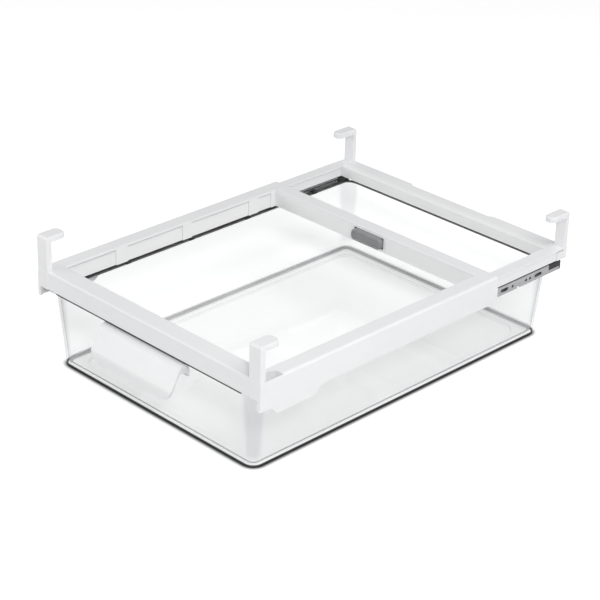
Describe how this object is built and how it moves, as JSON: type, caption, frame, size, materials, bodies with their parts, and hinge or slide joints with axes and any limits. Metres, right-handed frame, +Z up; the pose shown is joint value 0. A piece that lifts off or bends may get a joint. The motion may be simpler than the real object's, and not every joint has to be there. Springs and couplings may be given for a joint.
{
  "type": "fridge drawer organizer",
  "caption": "Clear pull-out refrigerator drawer on ball-bearing slides under a white telescoping frame that hangs from a glass shelf by hooks, with a curved front handle.",
  "frame": {"origin": "centre of the bounding box on the plane that the bin stands on", "axes": "+Z up, +Y towards the back of the refrigerator, +X to the right as seen from the front"},
  "size_m": [0.3, 0.428, 0.131],
  "materials": {
    "white_plastic": "satin moulded white plastic",
    "clear_plastic": "clear moulded plastic",
    "grey_plastic": "satin moulded grey plastic",
    "black_plastic": "matte moulded black plastic",
    "black_rubber": "matte moulded rubber",
    "zinc_steel": "rolled and zinc plated",
    "cage_steel": "stamped",
    "bright_steel": "polished",
    "screw_steel": "zinc plated",
    "spring_steel": "drawn wire"
  },
  "bodies": {
    "front_half": {"front_frame": "white_plastic", "cross_bar_cover": "white_plastic", "cover_screws": "screw_steel", "slide_channel_left": "zinc_steel", "slide_channel_right": "zinc_steel", "channel_screws_left": "screw_steel", "channel_screws_right": "screw_steel", "end_stop_left": "black_plastic", "end_stop_right": "black_plastic", "front_stop_left": "black_rubber", "front_stop_right": "black_rubber"},
    "rear_half": {"rear_frame": "white_plastic"},
    "drawer": {"bin": "clear_plastic", "handle": "white_plastic", "handle_screws": "screw_steel", "slide_runner_left": "zinc_steel", "slide_runner_right": "zinc_steel", "bin_clips_left": "black_plastic", "bin_clips_right": "black_plastic"},
    "cage_left": {"ball_cage_left": "cage_steel", "bearing_balls_left": "bright_steel"},
    "cage_right": {"ball_cage_right": "cage_steel", "bearing_balls_right": "bright_steel"},
    "button": {"release_button": "grey_plastic", "button_spring": "spring_steel"},
    "latch_left": {"latch_rod_left": "grey_plastic", "brake_pad_left": "black_rubber", "rod_spring_left": "spring_steel"},
    "latch_right": {"latch_rod_right": "grey_plastic", "brake_pad_right": "black_rubber", "rod_spring_right": "spring_steel"}
  },
  "joints": [
    {"name": "drawer_slide", "type": "slide", "parent": "front_half", "child": "drawer", "axis": [0, -1, 0], "range_m": [0, 0.24]},
    {"name": "cage_slide_left", "type": "slide", "parent": "front_half", "child": "cage_left", "axis": [0, -1, 0], "range_m": [0, 0.12]},
    {"name": "cage_slide_right", "type": "slide", "parent": "front_half", "child": "cage_right", "axis": [0, -1, 0], "range_m": [0, 0.12]},
    {"name": "frame_telescope", "type": "slide", "parent": "front_half", "child": "rear_half", "axis": [0, 1, 0], "range_m": [-0.06, 0.04]},
    {"name": "button_press", "type": "slide", "parent": "front_half", "child": "button", "axis": [0, 1, 0], "range_m": [0, 0.003], "stiffness_N_per_m": 400, "springref_m": -0.002, "deforming": ["button_spring"]},
    {"name": "latch_left_slide", "type": "slide", "parent": "front_half", "child": "latch_left", "axis": [1, 0, 0], "range_m": [0, 0.00225], "deforming": ["rod_spring_left"]},
    {"name": "latch_right_slide", "type": "slide", "parent": "front_half", "child": "latch_right", "axis": [-1, 0, 0], "range_m": [0, 0.00225], "deforming": ["rod_spring_right"]}
  ],
  "couplings": [
    {"joint": "cage_slide_left", "follows": "drawer_slide", "ratio": 0.5},
    {"joint": "cage_slide_right", "follows": "drawer_slide", "ratio": 0.5},
    {"joint": "latch_left_slide", "follows": "button_press", "ratio": 0.75},
    {"joint": "latch_right_slide", "follows": "button_press", "ratio": 0.75}
  ]
}
